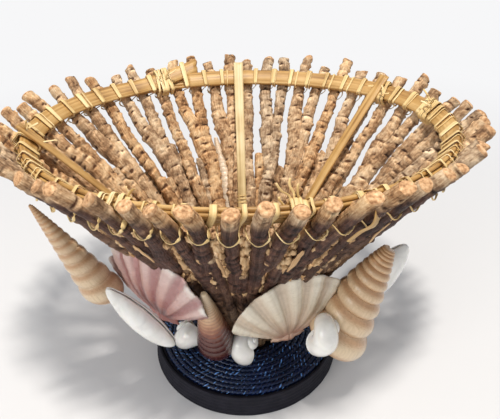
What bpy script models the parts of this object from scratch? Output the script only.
"""Fruit basket of gnarled twigs on a round blue foot, with a ring of sea shells round its waist.

Metres, +Z up. The origin is the centre of the foot's underside, and -Y is the front.
"""

import math
import random

import bmesh
import bpy
from mathutils import Matrix, Vector
from mathutils.bvhtree import BVHTree

TURN = 2 * math.pi
MM_PER_METRE = 1000
SEED = 12

# Clearance between pieces that touch, and the weld of a curve's end caps.
GAP = 0.0003
WELD = 0.00002

# Foot: a round board with a cord mat coiled on its top and a band round its side.
FOOT_RADIUS = 0.0643
FOOT_SPREAD = 0.0015
FOOT_HEIGHT = 0.0130
FOOT_BEVEL = 0.0008
FOOT_STEPS = 40
BAND_THICKNESS = 0.0018
BAND_RISE = 0.0026
MAT_CORD = 0.0030
MAT_PITCH = 0.0036
MAT_INNER_RADIUS = 0.0260
MAT_LOOPS = 10
MAT_POINTS_PER_LOOP = 18

# Hub: the turned plug that the twigs are glued round.
HUB_RADIUS = 0.0168
HUB_HEIGHT = 0.0200
HUB_BEVEL = 0.0010
HUB_STEPS = 24

# Wall: the surface that the twigs' centre lines follow, an oval rim over a round bottom.
WALL_BOTTOM_RADIUS = 0.0205
WALL_FLARE_SHARE = 1.35
WALL_PROBE_SHARE = 1e-4
RIM_HALF_LENGTH = 0.1375
RIM_HALF_WIDTH = 0.1060
RIM_HEIGHT = 0.1585
RIM_SET_BACK = 0.0270

# Twigs: full ones stand on the foot, short ones fill the gaps higher up, F ones fork.
TWIG_RADIUS = 0.0040
TWIG_TAPER_SHARE = 0.84
TWIG_KNUCKLE_SHARE = 0.10
TWIG_WAIST_SHARE = -0.06
TWIG_HEEL_SHARE = 0.42
TWIG_SEAT_SHARE = 0.96
TWIG_WANDER = 0.0009
TWIG_BEND_SHARE = 1.5
TWIG_WANDER_IN_SHARE = 0.35
TWIG_WANDER_STEP_SHARE = 0.302
TWIG_TIP_LEAST = 0.0070
TWIG_TIP_MORE = 0.0080
TWIG_POINTS = 9
TWIG_PATTERN = "FFSFSFFS"
PATTERN_REPEATS = 4
SLOT_JITTER_SHARE = 0.03
SLOT_EVEN_SHARE = 0.0645
FORK_SHARE = 0.60
SHORT_START_SHARE = 0.20
SHORT_START_MORE_SHARE = 0.02
SHORT_INSET = 0.0060

# Spurs: a short shoot of each twig that lies inside the wall, over the next gap.
SPUR_START_SHARE = 0.45
SPUR_END_SHARE = 0.66
SPUR_END_MORE_SHARE = 0.10
SPUR_LEAN_SHARE = 0.20
SPUR_INSET = 0.0078
SPUR_THICKNESS_SHARE = 0.80
SPUR_INSET_SHARES = (0.0, 0.75, 1.0, 1.0, 0.96)

# Rim: a flat inner hoop, a ribbed reed band behind it, and the lashing that winds round both.
HOOP_HEIGHT = 0.0120
HOOP_THICKNESS = 0.0024
REED_HEIGHT = 0.0105
REED_THICKNESS = 0.0022
REED_GROOVE = 0.0007
REED_COUNT = 4
HOOP_STATIONS = 56
REED_STATIONS = 44
HOOP_SEAM_DEGREES = 106.0
HOOP_SEAM_PROBE_SHARE = 0.01
HOOP_LAP = 0.0100
HOOP_LAP_RISE = 0.0125
HOOP_LAP_RAMP = 0.0600
LASH_THICKNESS = 0.0013
LASH_SLANT = 0.0060
LASH_CORNER_SHARE = 0.72
LASH_EDGE_SHARE = 0.96
LASH_SLACK = 0.0003
LASH_LIFT_SHARE = 1.16

# Splints: flat slivers of cane that run down the inside of the wall.
# Each has a name, its degrees round the rim and the share of the wall where it ends.
SPLINT_WIDTH = 0.0075
SPLINT_THICKNESS = 0.0020
SPLINT_TIP_SHARE = 0.78
SPLINT_RISE = 0.0045
SPLINT_BENDS = 3
SPLINT_SHARES = (
    ("splint_left", 187.0, 0.34),
    ("splint_back", 89.0, 0.40),
    ("splint_right", 37.0, 0.36),
)

# Shells stand from a low place to a high place. A place is (degrees round the wall, share up
# the wall, distance outwards from it).
SHELL_WALL = 0.0013

# Augers and turrets: name, length, radius, whorls, groove, colour, low place, high place.
SPIRE_COLUMNS = 10
SPIRE_ROWS = 15
SPIRE_CROWD_SHARE = 0.80
SPIRE_FULL_SHARE = 0.17
SPIRE_TIP_SHARE = 0.07
SPIRE_BOW_SHARE = 1.05
AUGER_SIZES = (
    ("spire_front", 0.0820, 0.0115, 9.0, 0.07, "brown", (-122, 0.085, 0.0165), (-107, 0.66, 0.0075)),
    ("spire_back", 0.0900, 0.0110, 9.0, 0.07, "pale", (102, 0.29, 0.0150), (106, 0.78, 0.0080)),
)
TURRET_SIZES = (
    ("spire_right", 0.0900, 0.0170, 6.0, 0.18, "cream", (-42, 0.21, 0.0460), (-36, 0.83, 0.0160)),
    ("spire_left", 0.0900, 0.0140, 6.5, 0.18, "cream", (-152, 0.50, 0.0400), (-147, 1.02, 0.0120)),
)

# Scallops: name, height, half spread in degrees, dome, colour, low place, high place.
SCALLOP_ROWS = 5
SCALLOP_COLUMNS = 16
SCALLOP_RIBS = 6
SCALLOP_RIB_DEPTH = 0.0010
SCALLOP_EAR_SHARE = 0.16
SCALLOP_EAR_HALF_SHARE = 0.26
SCALLOP_ROUND_SHARE = 0.26
SCALLOP_CREST_SHARE = 0.72
SCALLOP_HEEL_SHARE = 0.10
SCALLOP_FLAT_SHARE = 0.75
SCALLOP_SIZES = (
    ("scallop_pink", 0.0600, 54.0, 0.0100, "pink", (-142, 0.40, 0.0220), (-127, 0.76, 0.0080)),
    ("scallop_white", 0.0580, 56.0, 0.0100, "white", (-59, 0.27, 0.0240), (-70, 0.67, 0.0090)),
    ("scallop_back_right", 0.0500, 46.0, 0.0095, "white", (48, 0.20, 0.0130), (48, 0.55, 0.0090)),
    ("scallop_back_left", 0.0500, 46.0, 0.0095, "pink", (142, 0.20, 0.0130), (142, 0.55, 0.0090)),
)

# Snails: name, radius, low place, high place.
SNAIL_COLUMNS = 9
SNAIL_ROWS = 7
SNAIL_WHORLS = 2.5
SNAIL_GROOVE = 0.12
SNAIL_CREST_SHARE = 0.85
SNAIL_FULL_SHARE = 0.60
SNAIL_SIZES = (
    ("moon_snail_1", 0.0110, (-156, 0.11, 0.0270), (-151, 0.28, 0.0270)),
    ("moon_snail_2", 0.0100, (-89, 0.10, 0.0220), (-91, 0.27, 0.0220)),
    ("moon_snail_3", 0.0110, (-57, 0.36, 0.0350), (-54, 0.52, 0.0350)),
    ("moon_snail_4", 0.0085, (4, 0.12, 0.0180), (4, 0.28, 0.0180)),
    ("moon_snail_5", 0.0085, (74, 0.12, 0.0180), (74, 0.28, 0.0180)),
    ("moon_snail_6", 0.0085, (121, 0.11, 0.0190), (121, 0.27, 0.0190)),
)

# Clams: name, width, height, depth, low place, high place.
CLAM_COLUMNS = 14
CLAM_ROWS = 8
CLAM_BEAK_SHARE = 0.35
CLAM_LEAN_SHARE = 0.40
CLAM_SIZES = (
    ("clam_left", 0.0220, 0.0580, 0.0085, (-129, 0.29, 0.0400), (-141, 0.60, 0.0360)),
    ("clam_right", 0.0260, 0.0560, 0.0090, (-26, 0.42, 0.0340), (-21, 0.82, 0.0260)),
)

# Shells are let in towards the wall in small steps, from a little further out.
SETTLE_START = 0.0280
SETTLE_REACH = 0.0480
SETTLE_STEP = 0.00025

# Places that follow from the sizes above.
MAT_FLOOR = FOOT_HEIGHT + GAP
WALL_START = MAT_FLOOR + TWIG_RADIUS * TWIG_TAPER_SHARE * TWIG_HEEL_SHARE
KNUCKLE_RADIUS = TWIG_RADIUS * (1 + TWIG_KNUCKLE_SHARE)
REED_OUT = -(KNUCKLE_RADIUS * TWIG_SEAT_SHARE + GAP + REED_THICKNESS / 2)
HOOP_OUT = REED_OUT - REED_THICKNESS / 2 - GAP - HOOP_THICKNESS / 2
LASH_INNER_OUT = HOOP_OUT - HOOP_THICKNESS / 2 - GAP - LASH_THICKNESS / 2
LASH_RISE = HOOP_HEIGHT / 2 + 2 * GAP + LASH_THICKNESS / 2
SPLINT_OUT = LASH_INNER_OUT - LASH_THICKNESS / 2 - 2 * GAP - SPLINT_THICKNESS / 2


def new_material(name, colour, roughness, metallic=0.0):
    material = bpy.data.materials.new(name)
    material.use_nodes = True
    shader = material.node_tree.nodes["Principled BSDF"]
    shader.inputs["Base Color"].default_value = (*colour, 1.0)
    shader.inputs["Roughness"].default_value = roughness
    shader.inputs["Metallic"].default_value = metallic
    return material


def clear_scene():
    for thing in list(bpy.data.objects):
        bpy.data.objects.remove(thing, do_unlink=True)


def new_collection(name):
    collection = bpy.data.collections.new(name)
    bpy.context.scene.collection.children.link(collection)
    return collection


def wall_point(angle, share):
    """A point of the wall's surface. share is 0 at the foot and 1 at the middle of the rim."""
    low = Vector((math.cos(angle), math.sin(angle), 0)) * WALL_BOTTOM_RADIUS
    high = Vector(
        (RIM_HALF_LENGTH * math.cos(angle), RIM_HALF_WIDTH * math.sin(angle) + RIM_SET_BACK, 0)
    )
    point = low.lerp(high, max(0.0, share) ** WALL_FLARE_SHARE)
    point.z = WALL_START + (RIM_HEIGHT - WALL_START) * share
    return point


def wall_axes(angle, share):
    """The wall's tangent (anticlockwise from above), its inward normal and its upward slope."""
    step = WALL_PROBE_SHARE
    share = max(share, step)
    along = wall_point(angle + step, share) - wall_point(angle - step, share)
    up = (wall_point(angle, share + step) - wall_point(angle, share - step)).normalized()
    tangent = (along - up * along.dot(up)).normalized()
    return tangent, up.cross(tangent), up


def wall(angle, share, out=0.0, rise=0.0, side=0.0):
    """A wall point moved outwards, up the slope and sideways by real lengths."""
    tangent, inward, up = wall_axes(angle, share)
    return wall_point(angle, share) - inward * out + up * rise + tangent * side


def slope_length(angle):
    return (wall_point(angle, 1) - wall_point(angle, 0)).length


def mesh_object(name, bm, material, collection, smooth_degrees=40.0):
    bmesh.ops.recalc_face_normals(bm, faces=bm.faces)
    mesh = bpy.data.meshes.new(name)
    bm.to_mesh(mesh)
    bm.free()
    mesh.materials.append(material)
    mesh.shade_smooth()
    mesh.set_sharp_from_angle(angle=math.radians(smooth_degrees))
    thing = bpy.data.objects.new(name, mesh)
    collection.objects.link(thing)
    return thing


def tube_curve(name, points, thickness, resolution, material, collection, radii=None):
    """A round tube along points, as a curve with filled caps."""
    curve = bpy.data.curves.new(name, "CURVE")
    curve.dimensions = "3D"
    curve.bevel_depth = thickness / 2
    curve.bevel_resolution = resolution
    curve.use_fill_caps = True
    spline = curve.splines.new("POLY")
    spline.points.add(len(points) - 1)
    for index, point in enumerate(points):
        spline.points[index].co = (*point, 1)
        spline.points[index].radius = radii[index] if radii else 1
    curve.materials.append(material)
    thing = bpy.data.objects.new(name, curve)
    collection.objects.link(thing)
    return thing


def curve_to_mesh(thing, material, collection):
    """The curve's own surface as a mesh with welded caps; the curve is removed."""
    graph = bpy.context.evaluated_depsgraph_get()
    mesh = bpy.data.meshes.new_from_object(thing.evaluated_get(graph))
    bm = bmesh.new()
    bm.from_mesh(mesh)
    bmesh.ops.remove_doubles(bm, verts=bm.verts, dist=WELD)
    name, place = thing.name, thing.matrix_world.copy()
    bpy.data.objects.remove(thing, do_unlink=True)
    solid = mesh_object(name, bm, material, collection)
    solid.matrix_world = place
    return solid


def loft(name, sections, material, collection, closed):
    """Skins rings of points, all with the same count. An open loft gets flat ends."""
    bm = bmesh.new()
    rings = [[bm.verts.new(point) for point in section] for section in sections]
    count = len(rings[0])
    pairs = list(zip(rings, rings[1:]))
    if closed:
        pairs.append((rings[-1], rings[0]))
    else:
        bm.faces.new(rings[0])
        bm.faces.new(reversed(rings[-1]))
    for first, second in pairs:
        for index in range(count):
            other = (index + 1) % count
            bm.faces.new((first[index], second[index], second[other], first[other]))
    return mesh_object(name, bm, material, collection)


def turned(name, profile, steps, material, collection, bevel):
    """A profile of (radius, height), top to bottom along +X, spun with Screw, then bevelled."""
    bm = bmesh.new()
    points = [bm.verts.new((radius, 0, height)) for radius, height in profile]
    for first, second in zip(points, points[1:]):
        bm.edges.new((first, second))
    mesh = bpy.data.meshes.new(name)
    bm.to_mesh(mesh)
    bm.free()
    mesh.materials.append(material)
    thing = bpy.data.objects.new(name, mesh)
    collection.objects.link(thing)
    screw = thing.modifiers.new("turn", "SCREW")
    screw.steps = steps
    screw.render_steps = steps
    screw.use_merge_vertices = True
    screw.merge_threshold = WELD
    screw.use_smooth_shade = False
    edge = thing.modifiers.new("edge", "BEVEL")
    edge.width = bevel
    edge.segments = 1
    edge.limit_method = "ANGLE"
    edge.angle_limit = math.radians(60)
    return thing


def make_foot(parts, wood, band_cloth, cord):
    board_radius = FOOT_RADIUS
    board = [
        (0, FOOT_HEIGHT),
        (board_radius, FOOT_HEIGHT),
        (board_radius + FOOT_SPREAD, 0),
        (0, 0),
    ]
    turned("foot_board", board, FOOT_STEPS, wood, parts, FOOT_BEVEL)
    inner = board_radius + GAP / math.cos(math.pi / FOOT_STEPS)
    lift = GAP
    band = [
        (inner + BAND_THICKNESS, FOOT_HEIGHT + BAND_RISE),
        (inner + BAND_THICKNESS + FOOT_SPREAD, lift),
        (inner + FOOT_SPREAD, lift),
        (inner, FOOT_HEIGHT + BAND_RISE),
    ]
    sections = []
    for step in range(FOOT_STEPS):
        angle = TURN * step / FOOT_STEPS
        sections.append(
            [(r * math.cos(angle), r * math.sin(angle), z) for r, z in band]
        )
    loft("foot_band", sections, band_cloth, parts, True)
    make_mat(parts, cord)


def make_mat(parts, cord):
    """The mat is one cord coiled outwards in a flat spiral."""
    count = MAT_LOOPS * MAT_POINTS_PER_LOOP
    points = []
    for step in range(count + 1):
        angle = TURN * step / MAT_POINTS_PER_LOOP
        radius = MAT_INNER_RADIUS + MAT_PITCH * angle / TURN
        points.append(
            Vector(
                (
                    radius * math.cos(angle),
                    radius * math.sin(angle),
                    MAT_FLOOR + MAT_CORD / 2,
                )
            )
        )
    print("mat cord, least gap to itself in mm:", round(least_gap(points, MAT_CORD) * MM_PER_METRE, 2))
    tube_curve("coiled_mat", points, MAT_CORD, 1, cord, parts)


def least_gap(points, thickness):
    """The least clear distance between stretches of one cord that aren't neighbours along it."""
    near = math.ceil(math.pi * thickness / (points[1] - points[0]).length) + 1
    least = math.inf
    for index, point in enumerate(points[:-1]):
        end = points[index + 1]
        middle = point.lerp(end, 0.5)
        for other in range(index + near, len(points) - 1):
            first, second = points[other], points[other + 1]
            span = second - first
            share = max(0.0, min(1.0, (middle - first).dot(span) / span.length_squared))
            least = min(least, (middle - first.lerp(second, share)).length)
    return least - thickness


def make_hub(parts, wood):
    profile = [
        (0, MAT_FLOOR + HUB_HEIGHT),
        (HUB_RADIUS, MAT_FLOOR + HUB_HEIGHT),
        (HUB_RADIUS, MAT_FLOOR),
        (0, MAT_FLOOR),
    ]
    turned("hub_plug", profile, HUB_STEPS, wood, parts, HUB_BEVEL)


def slot_angle(share):
    """The angle at a share of the way round the rim, anticlockwise from the front."""
    angle = TURN * share - math.pi / 2
    return angle + SLOT_EVEN_SHARE * math.sin(2 * angle)


def twig_path(start_angle, end_angle, first, last, inset, dice):
    """Points and radius shares of one twig, with knuckles and a slight wander."""
    points, radii = [], []
    phase = dice.uniform(0, TURN)
    for index in range(TWIG_POINTS):
        way = min(1.0, index / (TWIG_POINTS - 2))
        share = last if index == TWIG_POINTS - 1 else first + (1 - first) * way
        angle = end_angle + (start_angle - end_angle) * (1 - way) ** TWIG_BEND_SHARE
        free = math.sin(math.pi * way)
        sway = TWIG_WANDER * free * math.sin(phase + TURN * TWIG_WANDER_STEP_SHARE * index)
        out = TWIG_WANDER_IN_SHARE * sway - inset * (1 - way) ** 2
        points.append(wall(angle, share, out, 0, sway))
        taper = TWIG_TAPER_SHARE + (1 - TWIG_TAPER_SHARE) * share
        knuckle = 1 + (TWIG_KNUCKLE_SHARE if index % 2 else TWIG_WAIST_SHARE)
        radii.append(min(taper * knuckle, 1 + TWIG_KNUCKLE_SHARE))
    return points, radii


def twig_plan():
    """Each twig as (stem share, its slots, whether it is short), slots counted round the rim."""
    slot, stems = 0, []
    kinds = TWIG_PATTERN * PATTERN_REPEATS
    for index, kind in enumerate(kinds):
        slots = [slot, slot + 1] if kind == "F" else [slot]
        stems.append(((index + 0.5) / len(kinds), slots, index % 2 == 1))
        slot += len(slots)
    return stems, slot


def roomy_side(own, angles):
    """The side of a stem, 1 or -1 anticlockwise, with more room before the next twig."""
    after = (angles[(own[0] + 1) % len(angles)] - angles[own[0]]) % TURN
    before = (angles[own[0]] - angles[own[0] - 1]) % TURN
    return 1 if len(own) == 1 and after > before else -1


def spur_path(start_angle, top, first, side, dice):
    """A short shoot of a twig: it leaves the stem low down and lies inside, over the gap beside."""
    start = SPUR_START_SHARE
    end = SPUR_END_SHARE + SPUR_END_MORE_SHARE * dice.random()
    lean = side * SPUR_LEAN_SHARE * TURN / (len(TWIG_PATTERN) * PATTERN_REPEATS)
    last = len(SPUR_INSET_SHARES) - 1
    points, radii = [], []
    for index, inset_share in enumerate(SPUR_INSET_SHARES):
        way = index / last
        share = start + (end - start) * way
        left = 1 - (share - first) / (1 - first)
        angle = top + (start_angle - top) * left**TWIG_BEND_SHARE + lean * way
        points.append(wall(angle, share, -SPUR_INSET * inset_share))
        radii.append(SPUR_THICKNESS_SHARE * (1 + (TWIG_KNUCKLE_SHARE if index % 2 else 0)))
    return points, radii


def make_twigs(parts, barks):
    """The twigs, and the angles where they cross the rim."""
    dice = random.Random(SEED)
    spur_dice = random.Random(SEED + 1)
    stems, slots = twig_plan()
    jitter = [dice.uniform(-SLOT_JITTER_SHARE, SLOT_JITTER_SHARE) for _ in range(slots)]
    angles = [slot_angle((slot + 0.5 + jitter[slot]) / slots) for slot in range(slots)]
    for number, (stem, own, short) in enumerate(stems):
        first = SHORT_START_SHARE + SHORT_START_MORE_SHARE * dice.random() if short else 0.0
        start_angle = TURN * stem - math.pi / 2
        main_top = angles[own[0]]
        paths = []
        for order, slot in enumerate(own):
            top = angles[slot]
            tip = (TWIG_TIP_LEAST + TWIG_TIP_MORE * dice.random()) / slope_length(top)
            reach = 1 + HOOP_HEIGHT / 2 / slope_length(top) + tip
            if order == 0:
                inset = SHORT_INSET if short else 0.0
                paths.append(twig_path(start_angle, top, first, reach, inset, dice))
            else:
                left = (1 - FORK_SHARE) / (1 - first)
                fork_angle = main_top + (start_angle - main_top) * left**TWIG_BEND_SHARE
                paths.append(twig_path(fork_angle, top, FORK_SHARE, reach, 0.0, dice))
        if not short:
            side = roomy_side(own, angles)
            paths.append(spur_path(start_angle, main_top, first, side, spur_dice))
        join_twig(f"twig_{number + 1:02d}", paths, barks[number % len(barks)], parts)
    return angles


def join_twig(name, paths, bark, parts):
    """One twig: its stem with its fork and its spur joined on."""
    stem = None
    for points, radii in paths:
        tube = tube_curve(name, points, 2 * TWIG_RADIUS, 1, bark, parts, radii)
        piece = curve_to_mesh(tube, bark, parts)
        if stem is None:
            stem = piece
        else:
            join_side(stem, piece)
    stem.name = name


def join_side(stem, side):
    """Joins a side branch to its stem and removes the branch's own object."""
    union = stem.modifiers.new("fork", "BOOLEAN")
    union.operation = "UNION"
    union.solver = "EXACT"
    union.object = side
    graph = bpy.context.evaluated_depsgraph_get()
    joined = bpy.data.meshes.new_from_object(stem.evaluated_get(graph))
    stem.modifiers.remove(union)
    stem.data = joined
    bpy.data.objects.remove(side, do_unlink=True)


def band_section(angle, out, height, thickness, rise=0.0):
    """The four corners of a flat strip that leans with the wall."""
    half, thin = height / 2, thickness / 2
    corners = [(-thin, -half), (-thin, half), (thin, half), (thin, -half)]
    return [wall(angle, 1, out + side, rise + up) for side, up in corners]


def hoop_seam():
    """The angles of the seam, of half its lap and of the ramp that lifts the left end."""
    seam = math.radians(HOOP_SEAM_DEGREES)
    step = HOOP_SEAM_PROBE_SHARE
    near = (wall_point(seam + step, 1) - wall_point(seam, 1)).length / step
    return seam, HOOP_LAP / near / 2, HOOP_LAP_RAMP / near


def hoop_rise(angle):
    """How far the hoop is lifted at an angle, counted from its left end."""
    seam, half_lap, ramp = hoop_seam()
    past = (angle - seam + half_lap) % TURN
    return HOOP_LAP_RISE * max(0.0, 1 - past / ramp) ** 2


def make_hoop(parts, cane):
    """The inner hoop is one strip whose left end rides up over its right end at the seam."""
    seam, half_lap, _ = hoop_seam()
    sections = []
    for step in range(HOOP_STATIONS + 1):
        share = step / HOOP_STATIONS
        angle = seam + half_lap - (TURN + 2 * half_lap) * share
        rise = hoop_rise(angle + WELD) if share > 0.5 else 0.0
        sections.append(band_section(angle, HOOP_OUT, HOOP_HEIGHT, HOOP_THICKNESS, rise))
    loft("inner_hoop", sections, cane, parts, False)


def make_reed_band(parts, cane):
    """Split reeds side by side behind the hoop: flat inside, ribbed outside."""
    rib = REED_HEIGHT / REED_COUNT
    outline = [(-REED_THICKNESS / 2, REED_HEIGHT / 2), (-REED_THICKNESS / 2, -REED_HEIGHT / 2)]
    for index in range(REED_COUNT):
        bottom = -REED_HEIGHT / 2 + rib * index
        outline.append((REED_THICKNESS / 2 - REED_GROOVE, bottom))
        outline.append((REED_THICKNESS / 2, bottom + rib / 2))
    outline.append((REED_THICKNESS / 2 - REED_GROOVE, REED_HEIGHT / 2))
    sections = []
    for step in range(REED_STATIONS):
        angle = TURN * step / REED_STATIONS
        sections.append([wall(angle, 1, REED_OUT + out, up) for out, up in outline])
    loft("reed_band", sections, cane, parts, True)


def lash_points(angles, indices):
    """One lashing's centre line: clockwise, one turn round the hoop and each of its twigs."""
    around = KNUCKLE_RADIUS + GAP + LASH_SLACK + LASH_THICKNESS / 2
    corner = LASH_CORNER_SHARE * around
    points = []
    for index in indices:
        twig = angles[index]
        middle = between(angles, index)
        low = -LASH_RISE
        high = LASH_RISE + hoop_rise(middle) * LASH_LIFT_SHARE
        points += [
            wall(middle, 1, LASH_INNER_OUT, low),
            wall(middle, 1, LASH_INNER_OUT, high),
            wall(middle, 1, -around + LASH_THICKNESS / 2, high),
            wall(twig, 1, 0, LASH_RISE - LASH_SLANT / 2, around / LASH_EDGE_SHARE),
            wall(twig, 1, around, low + LASH_SLANT / 2, corner),
            wall(twig, 1, around, low, -corner),
            wall(twig, 1, 0, low - LASH_THICKNESS / 2, -around / LASH_EDGE_SHARE),
        ]
    return points


def make_lashing(parts, cane, angles):
    """Three lashings, one after the other round the rim from the front."""
    count = len(angles)
    first, second = count // 3, 2 * count // 3
    thirds = {
        "lashing_right": range(first - 1, -1, -1),
        "lashing_back": range(second - 1, first - 1, -1),
        "lashing_left": range(count - 1, second - 1, -1),
    }
    for name, indices in thirds.items():
        points = lash_points(angles, indices)
        gap = least_gap(points, LASH_THICKNESS) * MM_PER_METRE
        print(name, "least gap to itself in mm:", round(gap, 2))
        tube_curve(name, points, LASH_THICKNESS, 0, cane, parts)


def between(angles, index):
    """The angle midway from one twig to the next one round."""
    twig = angles[index]
    following = angles[(index + 1) % len(angles)]
    return (twig + following + (TURN if following < twig else 0)) / 2


def make_splints(parts, cane, angles):
    """Flat tapered slivers that run down inside the wall, each tied where a lashing turn crosses."""
    for name, degrees, end_share in SPLINT_SHARES:
        wanted = math.radians(degrees)
        middles = [between(angles, index) for index in range(len(angles))]
        angle = min(middles, key=lambda middle: 1 - math.cos(middle - wanted))
        tangent = wall_axes(angle, 1)[0]
        spine = [
            wall(angle, 1, SPLINT_OUT, HOOP_HEIGHT / 2 + SPLINT_RISE),
            wall(angle, 1, SPLINT_OUT, -HOOP_HEIGHT / 2 - SPLINT_RISE),
        ]
        start_share = 1 - (HOOP_HEIGHT / 2 + SPLINT_RISE) / slope_length(angle)
        for bend in range(1, SPLINT_BENDS + 1):
            share = start_share + (end_share - start_share) * bend / SPLINT_BENDS
            spine.append(wall(angle, share, SPLINT_OUT))
        sections = []
        for order, place in enumerate(spine):
            ahead = spine[min(order + 1, len(spine) - 1)]
            behind = spine[max(order - 1, 0)]
            inward = (ahead - behind).normalized().cross(tangent).normalized()
            taper = 1 - (1 - SPLINT_TIP_SHARE) * order / (len(spine) - 1)
            half = tangent * SPLINT_WIDTH / 2 * taper
            thin = inward * SPLINT_THICKNESS / 2
            sections.append(
                [place - half - thin, place + half - thin, place + half + thin, place - half + thin]
            )
        loft(name, sections, cane, parts, False)


def spiral_shell(name, length, radius, whorls, groove, shape, rows, columns, material, parts):
    """A shell coiled up its own axis: a cone or globe with one spiral groove cut round it.

    shape(share) gives the radius share at a height share; the tip is up local +Z."""
    bm = bmesh.new()
    rings = []
    for row in range(1, rows):
        share = row / rows
        ring = []
        for column in range(columns):
            turn = column / columns
            phase = (whorls * share**SPIRE_CROWD_SHARE - turn) % 1.0
            cut = groove * (0.5 + 0.5 * math.cos(TURN * phase)) ** 2
            reach = radius * shape(share) * (1 - cut)
            angle = TURN * turn
            ring.append(
                bm.verts.new((reach * math.cos(angle), reach * math.sin(angle), length * share))
            )
        rings.append(ring)
    low, high = bm.verts.new((0, 0, 0)), bm.verts.new((0, 0, length))
    for column in range(columns):
        other = (column + 1) % columns
        bm.faces.new((low, rings[0][other], rings[0][column]))
        bm.faces.new((high, rings[-1][column], rings[-1][other]))
        for first, second in zip(rings, rings[1:]):
            bm.faces.new((first[column], first[other], second[other], second[column]))
    return mesh_object(name, bm, material, parts)


def spire_shape(share):
    """Round bottom, then a straight taper to the tip."""
    if share < SPIRE_FULL_SHARE:
        return math.sqrt(1 - (1 - share / SPIRE_FULL_SHARE) ** 2)
    way = (share - SPIRE_FULL_SHARE) / (1 - SPIRE_FULL_SHARE)
    return 1 - (1 - SPIRE_TIP_SHARE) * way**SPIRE_BOW_SHARE


def globe_shape(share):
    """A ball with a small raised spire."""
    return math.sin(math.pi * share**SNAIL_CREST_SHARE) ** SNAIL_FULL_SHARE


def scallop_shell(name, height, spread, dome, material, parts):
    """An open fan with radiating ribs and two ears at its hinge, given a wall by Solidify."""
    bm = bmesh.new()
    grid = []
    for row in range(SCALLOP_ROWS + 1):
        along = row / SCALLOP_ROWS
        crest = math.sin(math.pi * (along * SCALLOP_CREST_SHARE + SCALLOP_HEEL_SHARE))
        line = []
        for column in range(SCALLOP_COLUMNS + 1):
            across = 2 * column / SCALLOP_COLUMNS - 1
            swing = across * spread
            reach = height * (SCALLOP_EAR_SHARE + (1 - SCALLOP_EAR_SHARE) * along)
            reach *= 1 - SCALLOP_ROUND_SHARE * across**2
            rib = SCALLOP_RIB_DEPTH * along * math.cos(SCALLOP_RIBS * math.pi * across)
            bulge = dome * crest * (1 - SCALLOP_FLAT_SHARE * across**2)
            place = (reach * math.sin(swing), -bulge - rib, reach * math.cos(swing))
            if row == 0:
                place = (height * SCALLOP_EAR_HALF_SHARE * across, -bulge - rib, 0)
            line.append(bm.verts.new(place))
        grid.append(line)
    for first, second in zip(grid, grid[1:]):
        for column in range(SCALLOP_COLUMNS):
            bm.faces.new((first[column], first[column + 1], second[column + 1], second[column]))
    shell = mesh_object(name, bm, material, parts, 180.0)
    thicken(shell)
    return shell


def thicken(shell):
    wall_modifier = shell.modifiers.new("wall", "SOLIDIFY")
    wall_modifier.thickness = SHELL_WALL
    wall_modifier.offset = 0
    wall_modifier.use_even_offset = False


def clam_shell(name, length, height, depth, material, parts):
    """Half a clam: a domed oval bowl whose beak leans to one side, given a wall by Solidify."""
    bm = bmesh.new()
    bmesh.ops.create_uvsphere(bm, u_segments=CLAM_COLUMNS, v_segments=CLAM_ROWS, radius=1)
    lower = [vert for vert in bm.verts if vert.co.z < -WELD]
    bmesh.ops.delete(bm, geom=lower, context="VERTS")
    for vert in bm.verts:
        x, y, z = vert.co
        lean = z * CLAM_BEAK_SHARE
        tall = y + 1 - lean * (y + CLAM_LEAN_SHARE)
        vert.co = (x * length / 2, -z * depth, tall * height / 2)
    shell = mesh_object(name, bm, material, parts, 180.0)
    thicken(shell)
    return shell


def stand(shell, low, high, obstacle):
    """Stands a shell from one place on the wall to another: local +Z runs from low to high.

    A place is (degrees, share up the wall, distance outwards). Local -Y faces outwards.
    The shell then slides in level until it nearly touches the obstacle, which it joins."""
    bottom = wall_place(low)
    top = wall_place(high)
    up = (top - bottom).normalized()
    _, inward, _ = wall_axes(math.radians((low[0] + high[0]) / 2), (low[1] + high[1]) / 2)
    side = inward.cross(up).normalized()
    frame = Matrix((side, up.cross(side), up)).transposed().to_4x4()
    inward = Vector((inward.x, inward.y, 0)).normalized()
    shell.matrix_world = Matrix.Translation(bottom - inward * SETTLE_START) @ frame
    corners, faces = surface(shell)
    wall_tree = BVHTree.FromPolygons(*obstacle)
    travel = 0.0
    while travel < SETTLE_REACH:
        ahead = inward * (travel + SETTLE_STEP + GAP)
        if wall_tree.overlap(BVHTree.FromPolygons([corner + ahead for corner in corners], faces)):
            break
        travel += SETTLE_STEP
    shell.matrix_world = Matrix.Translation(inward * travel) @ shell.matrix_world
    add_surface(obstacle, shell)


def surface(thing):
    """A piece's corners and faces, as built and where it stands."""
    bpy.context.view_layer.update()
    graph = bpy.context.evaluated_depsgraph_get()
    mesh = bpy.data.meshes.new_from_object(thing.evaluated_get(graph))
    corners = [thing.matrix_world @ vert.co for vert in mesh.vertices]
    faces = [tuple(face.vertices) for face in mesh.polygons]
    bpy.data.meshes.remove(mesh)
    return corners, faces


def add_surface(obstacle, thing):
    corners, faces = surface(thing)
    first = len(obstacle[0])
    obstacle[0].extend(corners)
    obstacle[1].extend(tuple(first + index for index in face) for face in faces)


def wall_place(place):
    degrees, share, out = place
    return wall(math.radians(degrees), share, out)


def make_spires(parts, looks, sizes, obstacle):
    for name, length, radius, whorls, groove, look, low, high in sizes:
        form = (length, radius, whorls, groove, spire_shape, SPIRE_ROWS, SPIRE_COLUMNS)
        shell = spiral_shell(name, *form, looks[look], parts)
        stand(shell, low, high, obstacle)


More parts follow.
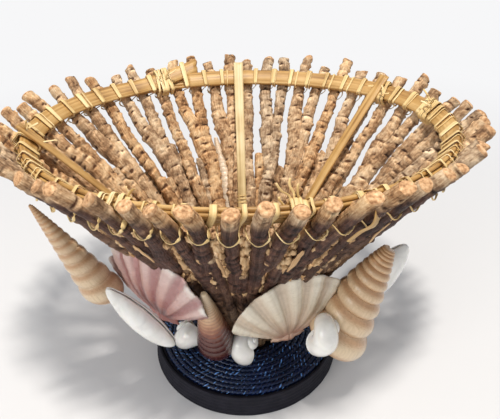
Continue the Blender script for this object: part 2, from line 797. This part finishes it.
def make_shells(parts, looks):
    """The shells, each let in until it nearly touches the wall or the shells before it."""
    obstacle = ([], [])
    for thing in list(parts.objects):
        add_surface(obstacle, thing)
    make_spires(parts, looks, AUGER_SIZES, obstacle)
    for name, height, spread, dome, look, low, high in SCALLOP_SIZES:
        shell = scallop_shell(name, height, math.radians(spread), dome, looks[look], parts)
        stand(shell, low, high, obstacle)
    make_spires(parts, looks, TURRET_SIZES, obstacle)
    for name, radius, low, high in SNAIL_SIZES:
        form = (2 * radius, radius, SNAIL_WHORLS, SNAIL_GROOVE, globe_shape, SNAIL_ROWS, SNAIL_COLUMNS)
        shell = spiral_shell(name, *form, looks["pearl"], parts)
        stand(shell, low, high, obstacle)
    for name, width, height, depth, low, high in CLAM_SIZES:
        shell = clam_shell(name, width, height, depth, looks["pearl"], parts)
        stand(shell, low, high, obstacle)


def main():
    clear_scene()
    parts = new_collection("fruit_basket")
    wood = new_material("foot wood", (0.16, 0.12, 0.10), 0.8)
    band_cloth = new_material("grey band", (0.11, 0.11, 0.14), 0.7)
    cord = new_material("blue cord", (0.006, 0.012, 0.055), 0.25)
    cane = new_material("split cane", (0.72, 0.50, 0.23), 0.5)
    barks = [
        new_material("warm bark", (0.42, 0.24, 0.12), 0.8),
        new_material("grey bark", (0.34, 0.24, 0.16), 0.8),
    ]
    looks = {
        "brown": new_material("brown shell", (0.45, 0.20, 0.12), 0.35),
        "cream": new_material("cream shell", (0.80, 0.62, 0.42), 0.35),
        "pale": new_material("pale shell", (0.80, 0.68, 0.52), 0.4),
        "pink": new_material("pink shell", (0.78, 0.50, 0.45), 0.35),
        "white": new_material("white shell", (0.80, 0.72, 0.62), 0.35),
        "pearl": new_material("pearl shell", (0.82, 0.78, 0.70), 0.2),
    }
    make_foot(parts, wood, band_cloth, cord)
    make_hub(parts, wood)
    angles = make_twigs(parts, barks)
    make_hoop(parts, cane)
    make_reed_band(parts, cane)
    make_lashing(parts, cane, angles)
    make_splints(parts, cane, angles)
    make_shells(parts, looks)


main()
